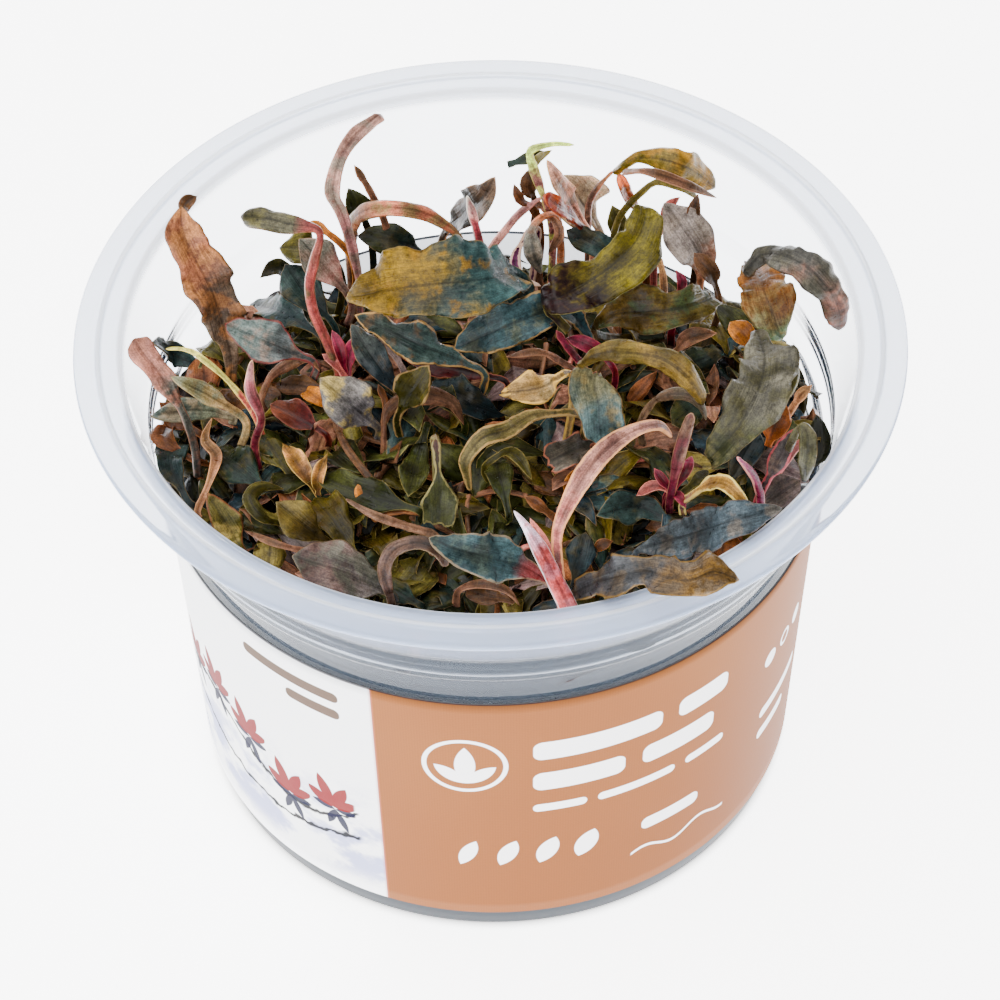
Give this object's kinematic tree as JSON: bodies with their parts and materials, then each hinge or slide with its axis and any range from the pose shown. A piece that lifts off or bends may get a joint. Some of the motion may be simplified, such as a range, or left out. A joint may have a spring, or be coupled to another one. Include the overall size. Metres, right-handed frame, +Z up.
{
  "type": "bucephalandra",
  "caption": "Bucephalandra clump with mottled teal, olive, rust and pink leaves, growing up out of a clear lidless plastic plant cup with a printed paper band.",
  "frame": {"origin": "middle of the cup's base, on the table", "axes": "+Z up the cup's axis, out of its mouth; -Y towards the side that the leaf lying over the flange and the middle of the band's joint between white and copper face; +X to the right seen from there"},
  "size_m": [0.105, 0.105, 0.0916],
  "materials": {
    "cup_plastic": "clear, slightly hazy moulded plastic",
    "label_paper": "satin printed paper, white and copper",
    "thicket": "dark damp roots, stems and old leaves",
    "teal": "satin leaf skin, dark teal with fine sparkles",
    "olive": "satin leaf skin, olive to yellow-brown",
    "green": "satin leaf skin, yellow-green",
    "grey": "speckled grey-brown leaf skin",
    "rust": "rust-orange to brown leaf skin",
    "ochre": "ochre leaf skin with pale margins",
    "pink": "glossy pink stem skin",
    "crimson": "glossy crimson shoot skin"
  },
  "bodies": {
    "root": {"cup": "cup_plastic", "label": "label_paper", "thicket": "thicket", "leaf_back_greybrown": "grey", "leaf_back_lilac": "grey", "stem_back_dark": "crimson", "sheath_back_brown": "rust", "leaf_back_cap": "olive", "leaf_back_dark_olive": "olive", "stem_mid_pink": "pink", "leaf_yellow_tip": "green", "leaf_tan_upright": "rust", "sheath_orange": "rust", "shoot_crimson_curl": "crimson", "leaf_hanging_dark": "teal", "shoot_back_pink": "pink", "leaf_arched_orange": "rust", "leaf_grey_pink": "grey", "leaf_rolled_tall": "rust", "leaf_upper_left": "olive", "leaf_rust_tall": "rust", "leaf_left_dark_green": "teal", "leaf_rust_left": "rust", "leaf_left_olive": "olive", "leaf_red_margin": "teal", "leaf_narrow_green": "green", "shoot_left_pink": "crimson", "leaf_veined_olive": "olive", "leaf_front_left": "olive", "leaf_centre_teal": "teal", "leaf_wavy_teal": "teal", "leaf_olive_tip": "olive", "leaf_grey_purple": "grey", "leaf_speckled_small": "grey", "leaf_veined_brown": "grey", "strap_ochre": "ochre", "stem_front_brown": "rust", "leaf_torn_square": "teal", "leaf_torn_amber": "ochre", "leaf_mid_teal": "teal", "leaf_olive_teal": "olive", "leaf_big_green": "green", "leaf_big_olive": "olive", "leaf_arch_brown": "grey", "leaf_arch_ochre": "ochre", "shoot_crimson_right": "crimson", "leaf_rust_oval": "rust", "leaf_arch_grey": "grey", "leaf_speckled_big": "grey", "leaf_pink_margin": "olive", "leaf_hooked_olive": "olive", "leaf_yellow_curl": "ochre", "shoot_magenta": "crimson", "leaf_front_right": "teal", "leaf_front_greybrown": "grey", "leaf_ring_brown": "rust", "leaf_front_teal": "teal", "leaf_over_rim": "rust", "strap_pink_long": "pink", "shoot_front_pink": "pink"}
  },
  "joints": []
}
